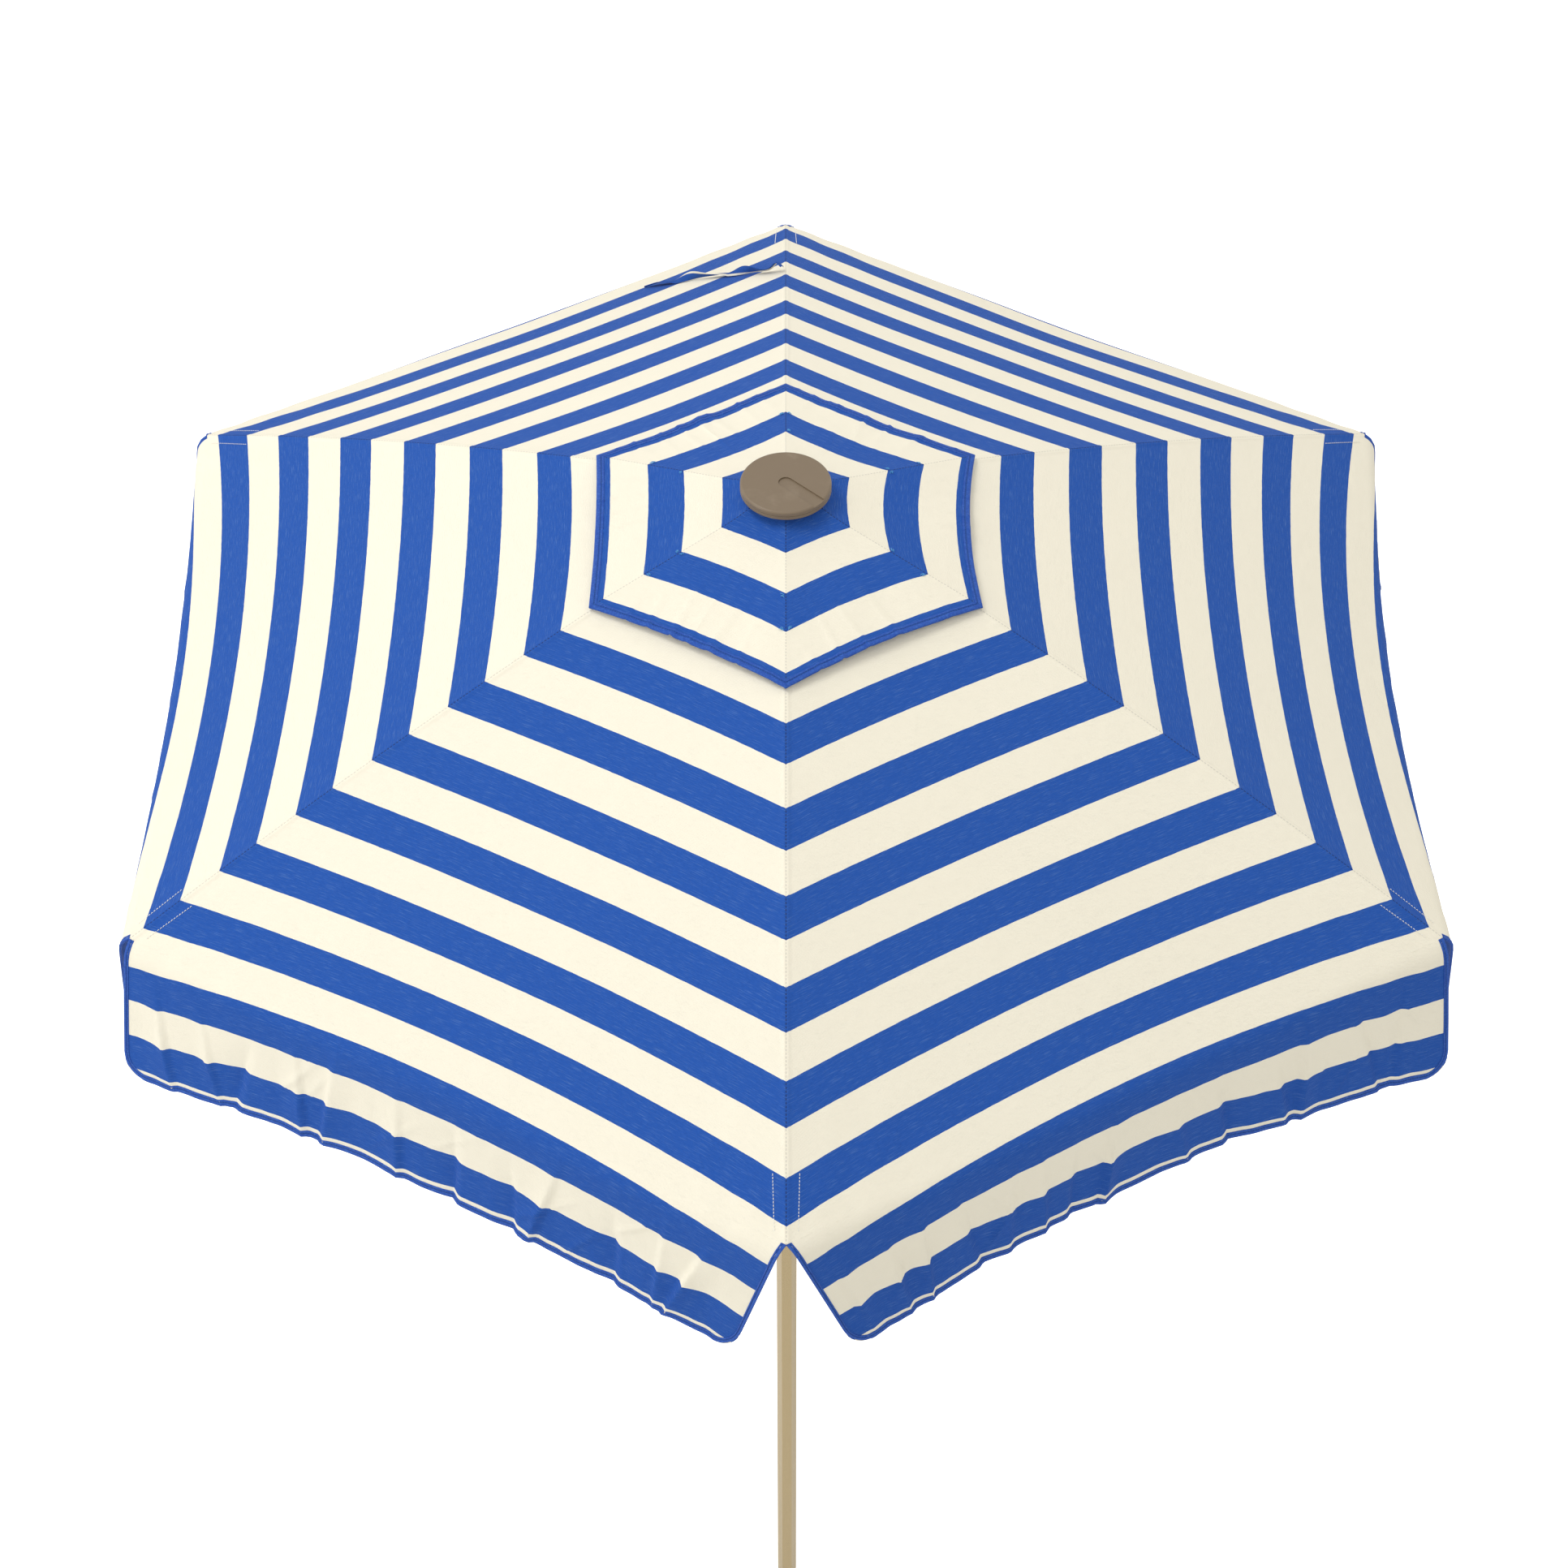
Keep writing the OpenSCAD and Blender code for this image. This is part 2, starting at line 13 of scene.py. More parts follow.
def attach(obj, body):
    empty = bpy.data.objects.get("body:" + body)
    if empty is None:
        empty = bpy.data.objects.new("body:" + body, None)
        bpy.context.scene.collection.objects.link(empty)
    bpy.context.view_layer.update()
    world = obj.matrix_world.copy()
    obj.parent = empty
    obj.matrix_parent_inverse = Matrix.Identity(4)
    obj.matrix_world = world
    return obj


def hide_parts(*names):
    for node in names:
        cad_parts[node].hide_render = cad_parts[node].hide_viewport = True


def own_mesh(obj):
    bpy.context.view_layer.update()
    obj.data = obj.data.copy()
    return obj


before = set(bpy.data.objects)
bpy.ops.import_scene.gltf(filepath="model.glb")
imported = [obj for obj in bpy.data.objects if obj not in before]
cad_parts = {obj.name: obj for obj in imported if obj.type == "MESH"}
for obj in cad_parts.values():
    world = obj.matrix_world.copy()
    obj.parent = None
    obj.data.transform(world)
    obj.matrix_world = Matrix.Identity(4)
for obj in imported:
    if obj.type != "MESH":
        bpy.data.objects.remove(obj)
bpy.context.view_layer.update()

# ---------- sizes that part.scad sets, in metres ----------
CANOPY_R = 1.0
CORNER_Z = 2.4
CROWN_RISE = 0.349
RIB_BOW = 0.088
VENT_HOLE_R = 0.23
VENT_R = 0.302
VENT_RISE = 0.2695
VENT_SLOPE = 0.25
HUB_TOP = 2.73749
VENT_HOLE_EDGE = 0.02425
HUB_LIFT_R = 0.048
VALANCE_LEN = 0.217
VALANCE_CORNER_R = 0.035
EDGE_BOW = 0.04
SIDES = 6
STEP = math.radians(360 / SIDES)
HALF = STEP / 2

# ---------- cloth sizes ----------
CLOTH_T = 0.0008
SLANT = math.hypot(CANOPY_R * math.cos(HALF), CROWN_RISE) / CANOPY_R
VENT_SLANT = math.hypot(math.cos(HALF), VENT_SLOPE)
STRIPE_PERIOD = 0.1154 * SLANT
BLUE_SHARE = 0.487
VALANCE_STRETCH = 0.97
CANOPY_STRIPE_START = 0.3462 * SLANT
VENT_STRIPE_START = 0.161 * VENT_SLANT
HEM_TAPE_W = 0.0095
SIDE_TAPE_W = 0.008
VENT_TAPE_W = 0.012
TAPE_OVER = 0.0004
TAPE_T = 0.0008
SEAM_W = 0.0055
SEAM_H = 0.0007
SEAM_DITCH = 0.0012
WEAVE_PERIOD = 0.0018
SEAM_STITCH_PITCH = 0.0046
TAPE_STITCH_PITCH = 0.0036
TAPE_RIB_PITCH = 0.0009
# a distance from the seam at which the cloth shows none of it
NO_SEAM = 0.05

# ---------- how the cloth hangs at rest: metres, shares of the way down a panel, one angle ----------
EDGE_DRAW = 0.0068
PANEL_HOLLOW = 0.14
HOLLOW_FROM = 0.55
EDGE_LIFT = 0.0133
LIFT_FROM = 0.6
PANEL_RIPPLE = 0.0022
CORNER_FOLD = 0.0009
VENT_PUFF = 0.005
VENT_RIPPLE = 0.004
VENT_CREASE = 0.0035
VALANCE_WAVE = 0.004
VALANCE_RIPPLE = 0.0012
FOLD_LEN = 0.03
CANOPY_FALL = math.radians(27)

RIB_AZIMUTH = {k: math.radians(-90 + 60 * (k - 1)) for k in range(1, SIDES + 1)}


# ---------- camera ----------
LENS = 88.7
CAMERA_OVER_CORNERS = 3.8429
CAMERA_AHEAD = 3.8526


def make_camera():
    data = bpy.data.cameras.new("camera")
    data.sensor_width = 36
    data.lens = LENS
    data.clip_end = 100
    camera = bpy.data.objects.new("camera", data)
    bpy.context.scene.collection.objects.link(camera)
    place = Vector((0.002, -CAMERA_AHEAD, CORNER_Z + CAMERA_OVER_CORNERS))
    forward = Vector((-0.0009, 0.68697, -0.72668))
    turn = forward.to_track_quat("-Z", "Y").to_matrix().to_4x4()
    roll = Matrix.Rotation(math.radians(-0.1), 4, "Z")
    camera.matrix_world = Matrix.Translation(place) @ turn @ roll
    bpy.context.scene.camera = camera


# ---------- lights and floor ----------
SKY_LIGHT = 0.90
SKY_SEEN = 1.1
FLOOR_HALF = 14
FLOOR_GLOW = 0.05
FLOOR_SEEN = 0.8


def make_stage():
    scene = bpy.context.scene
    scene.view_settings.view_transform = "Standard"
    world = bpy.data.worlds.new("world")
    scene.world = world
    world.use_nodes = True
    tree = world.node_tree
    tree.nodes["Background"].inputs["Color"].default_value = (1.0, 0.985, 0.95, 1)
    seen = tree.nodes.new("ShaderNodeLightPath").outputs["Is Camera Ray"]
    strength = tree.nodes.new("ShaderNodeMapRange")
    tree.links.new(seen, strength.inputs["Value"])
    strength.inputs["To Min"].default_value = SKY_LIGHT
    strength.inputs["To Max"].default_value = SKY_SEEN
    tree.links.new(strength.outputs[0], tree.nodes["Background"].inputs["Strength"])

    def area(name, place, target, size, watts):
        data = bpy.data.lights.new(name, "AREA")
        data.shape = "DISK"
        data.size = size
        data.energy = watts
        lamp = bpy.data.objects.new(name, data)
        scene.collection.objects.link(lamp)
        lamp.location = place
        aim = Vector(target) - Vector(place)
        lamp.rotation_euler = aim.to_track_quat("-Z", "Y").to_euler()

    area("key", (-2.4, 0.6, 7.8), (0, 0, 2.4), 2.6, 110)
    area("graze", (-5.5, -2.5, 3.4), (0, 0, 2.3), 2.0, 75)

    mesh = bpy.data.meshes.new("floor")
    corners = [(x * FLOOR_HALF, y * FLOOR_HALF, 0) for x, y in ((-1, -1), (1, -1), (1, 1), (-1, 1))]
    mesh.from_pydata(corners, [], [(0, 1, 2, 3)])
    floor = bpy.data.objects.new("floor", mesh)
    scene.collection.objects.link(floor)
    material = bpy.data.materials.new("floor_white")
    material.use_nodes = True
    tree = material.node_tree
    bsdf = tree.nodes["Principled BSDF"]
    bsdf.inputs["Base Color"].default_value = (0.8, 0.8, 0.8, 1)
    bsdf.inputs["Roughness"].default_value = 0.9
    bsdf.inputs["Emission Color"].default_value = (1, 1, 1, 1)
    glow = tree.nodes.new("ShaderNodeMapRange")
    seen = tree.nodes.new("ShaderNodeLightPath").outputs["Is Camera Ray"]
    tree.links.new(seen, glow.inputs["Value"])
    glow.inputs["To Min"].default_value = FLOOR_GLOW
    glow.inputs["To Max"].default_value = FLOOR_SEEN
    tree.links.new(glow.outputs[0], bsdf.inputs["Emission Strength"])
    mesh.materials.append(material)


# ---------- materials ----------
class Nodes:
    """A short way to add and join shader nodes."""

    def __init__(self, name):
        self.material = bpy.data.materials.new(name)
        self.material.use_nodes = True
        self.tree = self.material.node_tree
        self.bsdf = self.tree.nodes["Principled BSDF"]

    def add(self, kind, **settings):
        node = self.tree.nodes.new(kind)
        for key, value in settings.items():
            setattr(node, key, value)
        return node

    def join(self, source, target):
        if isinstance(source, (int, float)):
            target.default_value = source
        elif isinstance(source, tuple):
            target.default_value = (*source, 1)
        else:
            self.tree.links.new(source, target)

    def math(self, operation, a, b=0.0, c=0.0):
        node = self.add("ShaderNodeMath", operation=operation)
        for socket, value in zip(node.inputs, (a, b, c)):
            self.join(value, socket)
        return node.outputs[0]

    def mix(self, share, a, b):
        node = self.add("ShaderNodeMix", data_type="RGBA")
        self.join(share, node.inputs["Factor"])
        self.join(a, node.inputs["A"])
        self.join(b, node.inputs["B"])
        return node.outputs["Result"]

    def smooth(self, value, low, high, out_low=0.0, out_high=1.0):
        node = self.add("ShaderNodeMapRange", interpolation_type="SMOOTHSTEP")
        self.join(value, node.inputs["Value"])
        node.inputs["From Min"].default_value = low
        node.inputs["From Max"].default_value = high
        node.inputs["To Min"].default_value = out_low
        node.inputs["To Max"].default_value = out_high
        return node.outputs[0]

    def noise(self, place, scale, detail=2.0, roughness=0.5):
        node = self.add("ShaderNodeTexNoise")
        self.join(place, node.inputs["Vector"])
        node.inputs["Scale"].default_value = scale
        node.inputs["Detail"].default_value = detail
        node.inputs["Roughness"].default_value = roughness
        return node.outputs["Fac"]

    def scaled(self, place, x, y, z):
        node = self.add("ShaderNodeVectorMath", operation="MULTIPLY")
        self.join(place, node.inputs[0])
        node.inputs[1].default_value = (x, y, z)
        return node.outputs[0]

    def bump(self, height, distance, normal=None):
        node = self.add("ShaderNodeBump")
        node.inputs["Strength"].default_value = 1.0
        node.inputs["Distance"].default_value = distance
        self.join(height, node.inputs["Height"])
        if normal is not None:
            self.join(normal, node.inputs["Normal"])
        return node.outputs[0]


BLUE = (0.019, 0.092, 0.408)
BLUE_LIGHT = (0.085, 0.190, 0.50)
BLUE_DARK = (0.011, 0.060, 0.30)
CREAM = (0.865, 0.82, 0.69)
CREAM_LIGHT = (0.90, 0.87, 0.76)
TAPE_BLUE = (0.014, 0.075, 0.40)
THREAD_WHITE = (0.86, 0.85, 0.80)
THREAD_BLUE = (0.06, 0.30, 0.62)
SEAM_THREAD = (0.02, 0.03, 0.09)


def weave(n, place):
    """Height of a plain weave from the cloth's own coordinates, one thread about 0.9 mm wide."""
    split = n.add("ShaderNodeSeparateXYZ")
    n.join(place, split.inputs[0])
    thread = 2 * math.pi / WEAVE_PERIOD
    warp = n.math("SINE", n.math("MULTIPLY", split.outputs[0], thread))
    weft = n.math("SINE", n.math("MULTIPLY", split.outputs[1], thread))
    return n.math("MULTIPLY", warp, weft)


def heather(n, place):
    """How far a spot's yarn is from the mean shade: slubs and fine fibres that run along the stripes."""
    slubs = n.noise(n.scaled(place, 45, 1000, 1), 1.0, 3.0, 0.6)
    fibres = n.noise(n.scaled(place, 220, 1600, 1), 1.0, 1.0)
    clouds = n.noise(n.scaled(place, 5, 9, 1), 1.0, 3.0)
    slubs = n.smooth(slubs, 0.50, 0.74)
    fibres = n.smooth(fibres, 0.35, 0.8)
    return slubs, fibres, clouds


def striped_cloth(name, start):
    """Woven cloth striped across its length, blue from start and then once every period."""
    n = Nodes(name)
    uv = n.add("ShaderNodeUVMap", uv_map="cloth").outputs[0]
    split = n.add("ShaderNodeSeparateXYZ")
    n.join(uv, split.inputs[0])
    wander = n.noise(n.scaled(uv, 60, 200, 1), 1.0)
    along = n.math("ADD", split.outputs[1], n.math("MULTIPLY", n.math("SUBTRACT", wander, 0.5), 0.0012))
    from_start = n.math("SUBTRACT", along, start - 20 * STRIPE_PERIOD)
    phase = n.math("FRACT", n.math("DIVIDE", from_start, STRIPE_PERIOD))
    in_blue = n.math("LESS_THAN", phase, BLUE_SHARE)
    slubs, fibres, clouds = heather(n, uv)
    blue = n.mix(n.math("MULTIPLY", fibres, 0.5), BLUE, BLUE_DARK)
    blue = n.mix(n.math("MULTIPLY", slubs, 0.75), blue, BLUE_LIGHT)
    cream = n.mix(n.math("MULTIPLY", slubs, 0.6), CREAM, CREAM_LIGHT)
    cream = n.mix(n.math("MULTIPLY", clouds, 0.22), cream, (0.81, 0.77, 0.64))
    colour = n.mix(in_blue, cream, blue)

    # the seam: a broken line of stitches, dark on the blue and faint on the cream
    seam = n.add("ShaderNodeUVMap", uv_map="seam").outputs[0]
    seam_split = n.add("ShaderNodeSeparateXYZ")
    n.join(seam, seam_split.inputs[0])
    near_line = n.smooth(seam_split.outputs[0], 0.0005, 0.0011, 1.0, 0.0)
    stitch = n.math("FRACT", n.math("DIVIDE", seam_split.outputs[1], SEAM_STITCH_PITCH))
    broken = n.math("LESS_THAN", stitch, 0.62)
    depth = n.math("MULTIPLY_ADD", in_blue, 0.62, 0.25)
    dark = n.math("MULTIPLY", n.math("MULTIPLY", near_line, broken), depth)
    colour = n.mix(dark, colour, SEAM_THREAD)
    n.join(colour, n.bsdf.inputs["Base Color"])
    n.bsdf.inputs["Roughness"].default_value = 0.86
    n.bsdf.inputs["Specular IOR Level"].default_value = 0.15
    n.bsdf.inputs["Sheen Weight"].default_value = 0.05
    n.bsdf.inputs["Sheen Roughness"].default_value = 0.3
    fine = n.bump(weave(n, uv), 0.00012)
    ribbed = n.bump(n.math("ADD", slubs, fibres), 0.00015, fine)
    soft = n.bump(n.noise(n.scaled(uv, 16, 16, 1), 1.0, 2.0), 0.0022, ribbed)
    n.join(soft, n.bsdf.inputs["Normal"])
    return n.material


def thread_material(name, base, light):
    """Sewing thread in one colour, uneven in shade."""
    n = Nodes(name)
    place = n.add("ShaderNodeTexCoord").outputs["Object"]
    shade = n.noise(place, 420, 3.0)
    patches = n.noise(place, 14, 2.0)
    mixed = n.mix(n.smooth(shade, 0.4, 0.75), base, light)
    worn = n.mix(n.math("MULTIPLY", patches, 0.25), mixed, tuple(c * 0.75 for c in base))
    n.join(worn, n.bsdf.inputs["Base Color"])
    n.bsdf.inputs["Roughness"].default_value = 0.7
    n.bsdf.inputs["Specular IOR Level"].default_value = 0.35
    n.bsdf.inputs["Sheen Weight"].default_value = 0.15
    n.join(n.bump(shade, 0.0003), n.bsdf.inputs["Normal"])
    return n.material


def binding_tape():
    """Ribbed blue tape with a row of stitches in the ditch along its inner edge, and painted shade that
    darkens the ditch.
    """
    n = Nodes("blue_binding_tape")
    uv = n.add("ShaderNodeUVMap", uv_map="seam").outputs[0]
    split = n.add("ShaderNodeSeparateXYZ")
    n.join(uv, split.inputs[0])
    place = n.add("ShaderNodeTexCoord").outputs["Object"]
    shade = n.noise(place, 380, 3.0)
    colour = n.mix(n.smooth(shade, 0.4, 0.75), TAPE_BLUE, (0.035, 0.13, 0.50))
    off_line = n.math("ABSOLUTE", n.math("SUBTRACT", split.outputs[0], 0.62))
    # painted shade: the tape turns dark blue in a band along its ditch, where the folded profile dips
    ditch = n.smooth(off_line, 0.05, 0.13, 1.0, 0.0)
    colour = n.mix(n.math("MULTIPLY", ditch, 0.6), colour, (0.006, 0.03, 0.16))
    stitch = n.math("LESS_THAN", n.math("FRACT", n.math("DIVIDE", split.outputs[1], TAPE_STITCH_PITCH)), 0.6)
    on_line = n.math("MULTIPLY", n.smooth(off_line, 0.02, 0.05, 1.0, 0.0), stitch)
    colour = n.mix(n.math("MULTIPLY", on_line, 0.7), colour, (0.03, 0.16, 0.55))
    n.join(colour, n.bsdf.inputs["Base Color"])
    n.bsdf.inputs["Roughness"].default_value = 0.6
    n.bsdf.inputs["Specular IOR Level"].default_value = 0.3
    cords = n.math("SINE", n.math("MULTIPLY", split.outputs[1], 2 * math.pi / TAPE_RIB_PITCH))
    n.join(n.bump(cords, 0.0001, n.bump(shade, 0.0002)), n.bsdf.inputs["Normal"])
    return n.material


def plastic(name, base, light, roughness, grain, coat=0.0):
    """Moulded plastic: a fine spark-eroded grain, faint flow marks and lighter rubbed patches."""
    n = Nodes(name)
    place = n.add("ShaderNodeTexCoord").outputs["Object"]
    rub = n.smooth(n.noise(place, 22, 4.0, 0.6), 0.52, 0.8)
    flow = n.noise(n.scaled(place, 30, 30, 6), 1.0, 2.0)
    colour = n.mix(n.math("MULTIPLY", rub, 0.55), base, light)
    colour = n.mix(n.math("MULTIPLY", flow, 0.3), colour, tuple(c * 0.8 for c in base))
    n.join(colour, n.bsdf.inputs["Base Color"])
    n.join(n.smooth(rub, 0, 1, roughness + 0.06, roughness - 0.07), n.bsdf.inputs["Roughness"])
    n.bsdf.inputs["Specular IOR Level"].default_value = 0.5
    n.bsdf.inputs["Coat Weight"].default_value = coat
    n.bsdf.inputs["Coat Roughness"].default_value = 0.25
    n.join(n.bump(n.noise(place, 900, 2.0), grain), n.bsdf.inputs["Normal"])
    return n.material


def metallic_paint():
    """Champagne paint on the tubes: fine metal flake, long drawing marks and small scuffs."""
    n = Nodes("champagne_paint")
    place = n.add("ShaderNodeTexCoord").outputs["Object"]
    flake = n.noise(place, 2600, 1.0)
    drawn = n.noise(n.scaled(place, 700, 700, 6), 1.0, 2.0)
    scuff = n.smooth(n.noise(n.scaled(place, 60, 60, 14), 1.0, 5.0, 0.65), 0.62, 0.8)
    colour = n.mix(n.smooth(flake, 0.35, 0.7), (0.44, 0.33, 0.165), (0.60, 0.475, 0.26))
    colour = n.mix(n.math("MULTIPLY", scuff, 0.35), colour, (0.74, 0.68, 0.52))
    n.join(colour, n.bsdf.inputs["Base Color"])
    n.bsdf.inputs["Metallic"].default_value = 0.35
    n.join(n.smooth(drawn, 0.3, 0.7, 0.30, 0.42), n.bsdf.inputs["Roughness"])
    n.bsdf.inputs["Coat Weight"].default_value = 0.3
    n.bsdf.inputs["Coat Roughness"].default_value = 0.18
    n.join(n.bump(drawn, 0.00006, n.bump(flake, 0.00002)), n.bsdf.inputs["Normal"])
    return n.material


def fibreglass():
    """Pultruded rod: white resin over glass fibres that run along the rod."""
    n = Nodes("white_fibreglass")
    place = n.add("ShaderNodeTexCoord").outputs["Object"]
    cells = n.noise(place, 160, 4.0, 0.6)
    patches = n.noise(place, 20, 2.0)
    colour = n.mix(cells, (0.80, 0.80, 0.76), (0.90, 0.90, 0.88))
    n.join(n.mix(n.math("MULTIPLY", patches, 0.25), colour, (0.72, 0.72, 0.66)), n.bsdf.inputs["Base Color"])
    n.join(n.smooth(cells, 0.3, 0.7, 0.28, 0.44), n.bsdf.inputs["Roughness"])
    n.join(n.bump(cells, 0.0001), n.bsdf.inputs["Normal"])
    return n.material


def zinc_steel():
    """Zinc-plated steel: brushed, a little blotchy, with a soft shine."""
    n = Nodes("zinc_steel")
    place = n.add("ShaderNodeTexCoord").outputs["Object"]
    blotch = n.noise(place, 90, 4.0, 0.6)
    brush = n.noise(n.scaled(place, 300, 300, 2400), 1.0, 2.0)
    n.join(n.mix(blotch, (0.52, 0.53, 0.55), (0.72, 0.73, 0.75)), n.bsdf.inputs["Base Color"])
    n.bsdf.inputs["Metallic"].default_value = 0.9
    n.join(n.smooth(brush, 0.3, 0.7, 0.28, 0.46), n.bsdf.inputs["Roughness"])
    n.join(n.bump(brush, 0.00004), n.bsdf.inputs["Normal"])
    return n.material


# ---------- surface shapes, all in one rib's own frame: X out along the rib, Y to its left ----------
def canopy_z(share):
    return CORNER_Z + CROWN_RISE * (1 - share) + RIB_BOW * share * (1 - share)


def across(w):
    return w * (2 - w)


def edge_share(w):
    return 1 + EDGE_BOW * across(w)


def panel_point(share, w, inward, z, side):
    return np.array([
        share * CANOPY_R * (1 - 0.25 * w) - inward * math.cos(HALF),
        side * (share * CANOPY_R * math.sin(STEP) / 2 * w - inward * math.sin(HALF)),
        z,
    ])


def panel_of(k, side):
    """The panel, 1 to 6, on that side of rib k. Panel 1 is at the front right."""
    return k if side > 0 else (k - 2) % SIDES + 1


def cloth_x(share, w, side):
    """Distance across the cut panel from its middle line."""
    return -side * (1 - w) * share * CANOPY_R / 2


def ripple(panel, x, y, fine, seed):
    return noise.noise(Vector((x * fine, y * fine * 0.6, panel * 7.3 + seed)))


def canopy_surface(k, side, share, w):
    """A point on the main canopy's top surface, taut on the ribs and a little slack between them."""
    past = max(0.0, share - HOLLOW_FROM)
    panel = panel_of(k, side)
    inward = (EDGE_DRAW + PANEL_HOLLOW * past * past + PANEL_DRAW[panel] * share ** 3) * across(w)
    lift = EDGE_LIFT * (max(0.0, share - LIFT_FROM) / (1 - LIFT_FROM)) ** 2 * across(w)
    x = cloth_x(share, w, side)
    slack = across(w) * min(1.0, share)
    lift += PANEL_RIPPLE * slack * ripple(panel, x, share * 1.2, 5.0, 0.0)
    # tension folds that fan out of each corner
    reach = math.exp(-(((1 - share) / 0.13) ** 2)) * math.exp(-((w / 0.42) ** 2)) * min(1.0, w / 0.05)
    angle = math.atan2(w * CANOPY_R / 2, 0.22 + max(0.0, 1 - share))
    lift += CORNER_FOLD * reach * math.sin(angle * 22 + panel * 1.7 + side)
    return panel_point(share, w, inward, canopy_z(share) + lift, side)


def vent_profile(r):
    outer = CORNER_Z + VENT_RISE + VENT_SLOPE * (VENT_R - max(r, HUB_LIFT_R))
    top = HUB_TOP + 0.0015
    at_hub = CORNER_Z + VENT_RISE + VENT_SLOPE * (VENT_R - HUB_LIFT_R)
    lift = max(0.0, min(1.0, (2 * HUB_LIFT_R - r) / HUB_LIFT_R)) ** 2
    return outer + (top - at_hub) * lift


def vent_surface(k, side, share, w):
    """A point on the vent cap, which hangs slack between the ribs and billows a little."""
    far = max(0.0, share * CANOPY_R - HUB_LIFT_R) / (VENT_R - HUB_LIFT_R)
    panel = panel_of(k, side)
    inward = VENT_DRAW[panel] * math.sin(min(far, 1.05) * math.pi / 2) * across(w)
    x = cloth_x(share, w, side)
    lift = VENT_PUFF * far * far * across(w)
    lift += VENT_RIPPLE * across(w) * far * ripple(panel, x, share * 1.4, 15.0, 31.0)
    crease = max(0.0, 1 - abs(ripple(panel, x, share * 0.25, 30.0, 57.0)) * 4)
    lift += VENT_CREASE * across(w) * far ** 3 * crease ** 2
    return panel_point(share, w, inward, vent_profile(share * CANOPY_R) + lift, side)


# lean of the valance out from the vertical in degrees, at the middle of each panel
MIDDLE_LEAN = {1: 7, 2: 0, 3: 8, 4: 8, 5: 1, 6: 12}
# by rib and side, at the end of a panel: that lean, and how far its side edge slants in for each metre down
END_LEAN = {
    (1, 1): (10, 0.33), (2, -1): (15, 0.05), (2, 1): (4, 0.12), (3, -1): (5, 0.15),
    (3, 1): (8, 0.15), (4, -1): (8, 0.15), (4, 1): (8, 0.15), (5, -1): (8, 0.15),
    (5, 1): (5, 0.15), (6, -1): (4, 0.12), (6, 1): (15, 0.05), (1, -1): (8, 0.25),
}
# how much further than the others a panel's edge is drawn in
PANEL_DRAW = {1: 0.0, 2: 0.018, 3: 0.0, 4: 0.0, 5: 0.009, 6: 0.0}
VENT_DRAW = {1: 0.006, 2: 0.012, 3: 0.010, 4: 0.008, 5: 0.004, 6: 0.005}


def fold_list(panel):
    """The folds of one panel's valance: place, drift, half width, height, depth at start and end, turn."""
    draw = random.Random(40 + panel)
    folds = []
    place = -0.45
    while place < 0.46:
        folds.append((place, draw.uniform(-0.06, 0.06), draw.uniform(0.016, 0.030),
                      draw.uniform(0.0045, 0.0105) * draw.choice((1, 1, -1)),
                      draw.uniform(-0.05, 0.30), 1.06, draw.choice((1, -1))))
        place += draw.uniform(0.045, 0.095)
    for _ in range(9):
        start = draw.uniform(0.05, 0.55)
        folds.append((draw.uniform(-0.44, 0.44), draw.choice((1, -1)) * draw.uniform(0.12, 0.26),
                      draw.uniform(0.007, 0.012), draw.uniform(0.002, 0.0042), start,
                      start + draw.uniform(0.25, 0.5), draw.choice((1, -1))))
    return folds


FOLDS = {panel: fold_list(panel) for panel in range(1, SIDES + 1)}
EASY_FLANK = 1.7
STEEP_FLANK = 0.45


def fold_height(panel, x, depth):
    """Height of the folds. Each has a steep flank and an easy one, and is highest half way along."""
    height = 0.0
    for place, drift, width, rise, start, end, turn in FOLDS[panel]:
        if not start < depth < end:
            continue
        u = (x - place - drift * (depth - start)) * turn / width
        if -EASY_FLANK < u <= 0:
            shape = (1 + u / EASY_FLANK) ** 1.6
        elif 0 < u < STEEP_FLANK:
            shape = (1 - u / STEEP_FLANK) ** 1.3
        else:
            continue
        height += rise * shape * math.sin(math.pi * (depth - start) / (end - start)) ** 0.8
    return height


def valance_length(w):
    return VALANCE_LEN - EDGE_BOW * across(w) * CANOPY_R * SLANT


def valance_surface(k, side, w, down):
    """A point on the valance, which turns over the canopy's edge and hangs in soft folds."""
    panel = panel_of(k, side)
    end, slant = END_LEAN[k, side]
    lean = math.radians(end + (MIDDLE_LEAN[panel] - end) * across(w))
    hang = math.pi / 2 - lean
    # the cloth turns from the canopy's slope to its hang over the first few centimetres
    turned = min(down, FOLD_LEN)
    if turned <= 0:
        mean = (CANOPY_FALL + hang) / 2
    else:
        mean = CANOPY_FALL + (hang - CANOPY_FALL) * turned / FOLD_LEN / 2
    out = math.cos(mean) * turned + math.cos(hang) * (down - turned)
    fall = math.sin(mean) * turned + math.sin(hang) * (down - turned)
    start = canopy_surface(k, side, edge_share(w), w)
    x = cloth_x(1.0, w, side)
    depth = max(0.0, down) / VALANCE_LEN
    free = min(1.0, depth * 1.6) * min(1.0, (w + 0.02) / 0.1)
    wave = noise.noise(Vector((x * 9, depth * 0.7, panel * 5.1)))
    out += free * (fold_height(panel, x, depth) + VALANCE_WAVE * wave)
    out += VALANCE_RIPPLE * free * noise.noise(Vector((x * 45 - depth * 3.0, depth * 4.0, panel * 9.7 + 3)))
    inward_along_edge = (1 - w) * slant * down
    return start + np.array([
        -math.sin(HALF) * inward_along_edge + math.cos(HALF) * out,
        side * (math.cos(HALF) * inward_along_edge + math.sin(HALF) * out),
        -fall,
    ])


# ---------- meshes ----------
MAIN_SLOT = 0
TAPE_SLOT = 1


